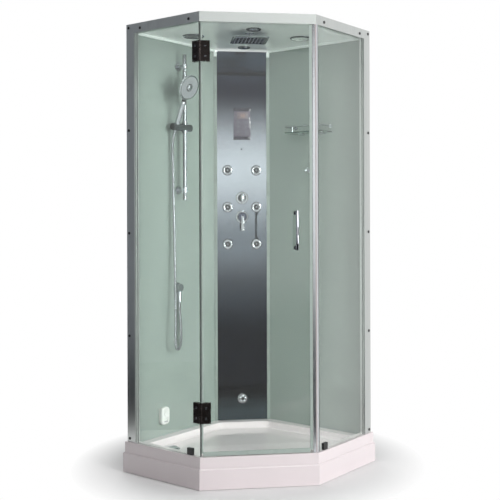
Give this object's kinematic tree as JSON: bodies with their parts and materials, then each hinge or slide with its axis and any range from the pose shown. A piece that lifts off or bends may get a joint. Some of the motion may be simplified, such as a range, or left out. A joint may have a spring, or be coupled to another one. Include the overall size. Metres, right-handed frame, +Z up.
{
  "type": "corner shower cabin",
  "caption": "Corner steam shower cabin with a moulded tray, a hinged glass door, a mirror column with jets and valves, a slide-rail handset, a shelf and a roof with a fan.",
  "frame": {"origin": "on the floor, under the middle of the cabin's width and of its depth, door handle included", "axes": "+Z up; -Y out through the door; +X to the right for someone who faces the door"},
  "size_m": [1.2728, 1.028, 2.2],
  "materials": {
    "acrylic": "glossy moulded acrylic",
    "galvanised": "galvanised steel",
    "trap_plastic": "moulded plastic",
    "steel": "zinc plated steel",
    "aluminium": "satin anodised",
    "white_profile": "white powder coat",
    "clear_glass": "clear tempered glass",
    "wall_glass": "opal back-painted tempered glass",
    "mirror_glass": "tinted mirror",
    "black_metal": "black, satin",
    "black_plastic": "moulded",
    "seal": "translucent seal",
    "chrome": "polished chrome",
    "chrome_plastic": "chrome-plated plastic",
    "white_plastic": "glossy white plastic",
    "lamp": "translucent diffuser in a chrome rim",
    "display": "glossy smoked plastic",
    "grey_plastic": "soft grey plastic",
    "hose": "flexible metal hose",
    "brass": "cast brass",
    "appliance": "painted sheet metal"
  },
  "bodies": {
    "cabin": {"shower_tray": "acrylic", "waste_trap": "trap_plastic", "tray_frame": "galvanised", "levelling_feet": "steel", "left_upright": "aluminium", "right_upright": "aluminium", "left_top_rail": "aluminium", "front_top_rail": "white_profile", "right_top_rail": "aluminium", "roof_panel": "acrylic", "wall_trims": "white_profile", "left_wall_glass": "wall_glass", "right_wall_glass": "wall_glass", "column_panel": "mirror_glass", "left_fixed_glass": "clear_glass", "right_fixed_glass": "clear_glass", "glass_clips": "black_plastic", "strike_profile": "aluminium", "hinge_fixed_leaves": "black_metal", "screw_caps": "black_plastic", "fan_housing": "chrome_plastic", "ceiling_light": "lamp", "downlights": "lamp", "overhead_stem": "chrome", "display_bezel": "display", "display_screen": "display", "jet_rings": "chrome_plastic", "valve_roses": "chrome", "foot_jet": "chrome_plastic", "steam_outlet": "white_plastic", "slide_rail": "steel", "rail_brackets": "chrome", "shower_hose": "hose", "wall_outlet": "chrome", "shelf_glass": "clear_glass", "shelf_rail": "chrome", "robe_hook": "chrome", "valve_manifold": "brass", "steam_generator": "appliance"},
    "door": {"door_glass": "clear_glass", "door_magnet": "seal", "door_seals": "seal", "hinge_door_leaves": "black_metal", "door_handle": "chrome"},
    "slider": {"slider": "chrome_plastic"},
    "holder": {"handset_holder": "chrome_plastic"},
    "handset": {"handset": "chrome_plastic", "spray_face": "grey_plastic"},
    "mixer_cap": {"mixer_cap": "chrome"},
    "mixer_lever": {"mixer_lever": "chrome"},
    "diverter": {"diverter_knob": "chrome"},
    "overhead": {"overhead_head": "chrome_plastic"},
    "waste_cover": {"waste_cover": "chrome_plastic"},
    "impeller": {"fan_impeller": "white_plastic"},
    "jet_1": {"jet_ball_1": "chrome_plastic"},
    "jet_2": {"jet_ball_2": "chrome_plastic"},
    "jet_3": {"jet_ball_3": "chrome_plastic"},
    "jet_4": {"jet_ball_4": "chrome_plastic"},
    "jet_5": {"jet_ball_5": "chrome_plastic"},
    "jet_6": {"jet_ball_6": "chrome_plastic"}
  },
  "joints": [
    {"name": "door_swing", "type": "hinge", "parent": "cabin", "child": "door", "pos_m": [-0.27268, -0.46349, 1.15], "axis": [0, 0, -1], "range_deg": [0, 95]},
    {"name": "slider_slide", "type": "slide", "parent": "cabin", "child": "slider", "axis": [0, 0, 1], "range_m": [-0.28, 0.17], "deforming": ["shower_hose"]},
    {"name": "holder_tilt", "type": "hinge", "parent": "slider", "child": "holder", "pos_m": [-0.36487, 0.04165, 1.717], "axis": [0.7071, 0.7071, 0], "range_deg": [-15, 20], "deforming": ["shower_hose"]},
    {"name": "handset_turn", "type": "hinge", "parent": "holder", "child": "handset", "pos_m": [-0.36487, 0.04165, 1.717], "axis": [0.2706, -0.2706, 0.9239], "range_deg": [-60, 60]},
    {"name": "mixer_turn", "type": "hinge", "parent": "cabin", "child": "mixer_cap", "pos_m": [0, 0.30602, 1.2515], "axis": [0, -1, 0], "range_deg": [-60, 60]},
    {"name": "mixer_lift", "type": "hinge", "parent": "mixer_cap", "child": "mixer_lever", "pos_m": [0, 0.28772, 1.2515], "axis": [-1, 0, 0], "range_deg": [0, 20]},
    {"name": "diverter_turn", "type": "hinge", "parent": "cabin", "child": "diverter", "pos_m": [0, 0.30602, 1.356], "axis": [0, -1, 0], "range_deg": [-45, 45]},
    {"name": "jet_tilt_1", "type": "hinge", "parent": "cabin", "child": "jet_1", "pos_m": [-0.0795, 0.33202, 1.509], "axis": [1, 0, 0], "range_deg": [-12, 12]},
    {"name": "jet_tilt_2", "type": "hinge", "parent": "cabin", "child": "jet_2", "pos_m": [0.0795, 0.33202, 1.509], "axis": [1, 0, 0], "range_deg": [-12, 12]},
    {"name": "jet_tilt_3", "type": "hinge", "parent": "cabin", "child": "jet_3", "pos_m": [-0.0795, 0.33202, 1.305], "axis": [1, 0, 0], "range_deg": [-12, 12]},
    {"name": "jet_tilt_4", "type": "hinge", "parent": "cabin", "child": "jet_4", "pos_m": [0.0795, 0.33202, 1.305], "axis": [1, 0, 0], "range_deg": [-12, 12]},
    {"name": "jet_tilt_5", "type": "hinge", "parent": "cabin", "child": "jet_5", "pos_m": [-0.0795, 0.33202, 1.101], "axis": [1, 0, 0], "range_deg": [-12, 12]},
    {"name": "jet_tilt_6", "type": "hinge", "parent": "cabin", "child": "jet_6", "pos_m": [0.0795, 0.33202, 1.101], "axis": [1, 0, 0], "range_deg": [-12, 12]},
    {"name": "overhead_tilt", "type": "hinge", "parent": "cabin", "child": "overhead", "pos_m": [-0.005, -0.13349, 2.15], "axis": [1, 0, 0], "range_deg": [-8, 8]},
    {"name": "waste_cover_lift", "type": "slide", "parent": "cabin", "child": "waste_cover", "axis": [0, 0, 1], "range_m": [0, 0.06]},
    {"name": "fan_spin", "type": "hinge", "parent": "cabin", "child": "impeller", "pos_m": [-0.28, -0.03349, 2.18], "axis": [0, 0, 1], "continuous": true}
  ]
}
